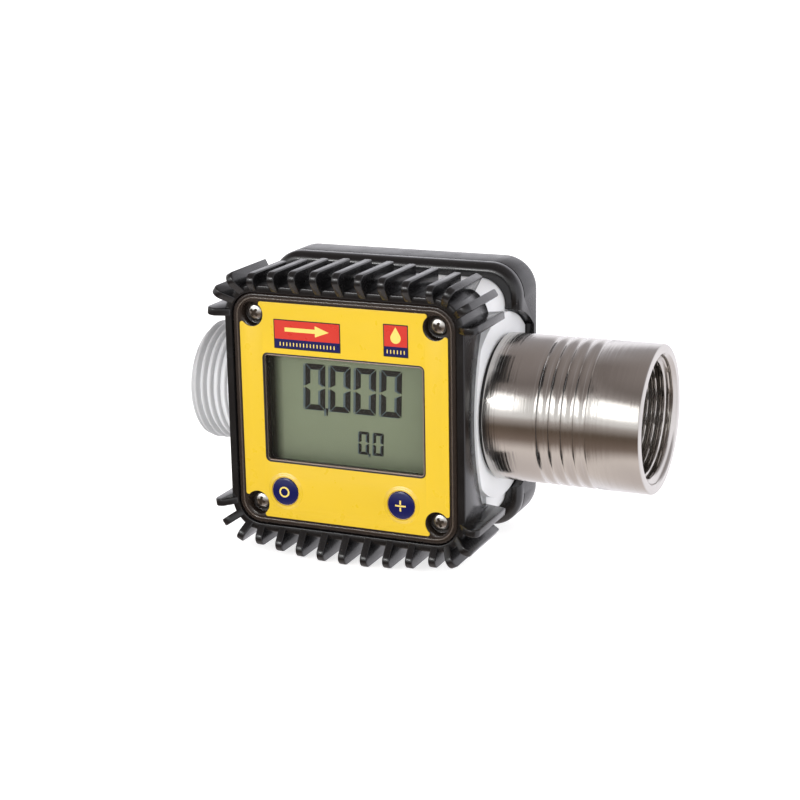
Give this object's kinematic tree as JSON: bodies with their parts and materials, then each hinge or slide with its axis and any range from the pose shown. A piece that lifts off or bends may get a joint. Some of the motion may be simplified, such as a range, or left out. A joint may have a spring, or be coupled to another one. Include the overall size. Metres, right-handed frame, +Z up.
{
  "type": "digital flow meter",
  "caption": "In-line turbine flow meter for one inch pipe: square display module, two keys, finned rubber guards, male threaded inlet and a turned metal sleeve on the outlet.",
  "frame": {"origin": "middle of the inlet mouth, on the flow axis", "axes": "+X along the flow from inlet to outlet, +Y from the display towards the back, +Z up"},
  "size_m": [0.1303, 0.0548, 0.079],
  "materials": {
    "body_white": "off-white moulded nylon, satin",
    "guard_rubber": "black moulded rubber, slightly glossy",
    "seal_rubber": "soft black rubber",
    "label_print": "printed film, plain yellow",
    "clear_cover": "clear moulded cover with a faint smoky tint",
    "screw_steel": "plated steel",
    "frame_black": "black moulded plastic",
    "lcd_glass": "grey-green display cell",
    "reflector_film": "silvery film",
    "strip_rubber": "layered conductive silicone",
    "board_green": "green solder mask",
    "cell_jacket": "printed steel can, plain grey",
    "tray_grey": "grey moulded plastic",
    "contact_metal": "nickel-plated spring brass",
    "turbine_white": "white acetal",
    "bush_brass": "turned brass",
    "shaft_steel": "ground stainless pin",
    "magnet_metal": "nickel-plated magnet",
    "sleeve_steel": "turned stainless steel, fine lathe marks",
    "key_blue": "glossy navy dome"
  },
  "bodies": {
    "meter": {"meter_body": "body_white", "front_guard": "guard_rubber", "rear_guard": "guard_rubber", "rear_gasket": "seal_rubber", "rear_cover": "body_white", "rear_screws": "screw_steel", "display_label": "label_print", "front_cover": "clear_cover", "cover_gasket": "seal_rubber", "front_screws": "screw_steel", "lcd_frame": "frame_black", "lcd_glass": "lcd_glass", "lcd_reflector": "reflector_film", "contact_strips": "strip_rubber", "circuit_board": "board_green", "switch_bodies": "frame_black", "pulse_sensor": "frame_black", "micro_chip": "frame_black", "battery_upper": "cell_jacket", "battery_lower": "cell_jacket", "battery_trays": "tray_grey", "positive_contacts": "contact_metal", "negative_contacts": "contact_metal", "outlet_straightener": "turbine_white", "inlet_straightener": "turbine_white", "outlet_bush": "bush_brass", "inlet_bush": "bush_brass", "thrust_washers": "bush_brass", "spring_rings": "screw_steel", "outlet_sleeve": "sleeve_steel", "sleeve_gasket": "seal_rubber", "outlet_seal": "seal_rubber"},
    "turbine": {"rotor": "turbine_white", "rotor_shaft": "shaft_steel", "rotor_magnets": "magnet_metal"},
    "reset_button": {"reset_key": "key_blue", "reset_plunger": "frame_black"},
    "cal_button": {"cal_key": "key_blue", "cal_plunger": "frame_black"}
  },
  "joints": [
    {"name": "rotor_spin", "type": "hinge", "parent": "meter", "child": "turbine", "pos_m": [0.0525, 0, 0], "axis": [1, 0, 0], "continuous": true},
    {"name": "reset_press", "type": "slide", "parent": "meter", "child": "reset_button", "axis": [0, 1, 0], "range_m": [0, 0.0006], "stiffness_N_per_m": 2500},
    {"name": "cal_press", "type": "slide", "parent": "meter", "child": "cal_button", "axis": [0, 1, 0], "range_m": [0, 0.0006], "stiffness_N_per_m": 2500}
  ]
}
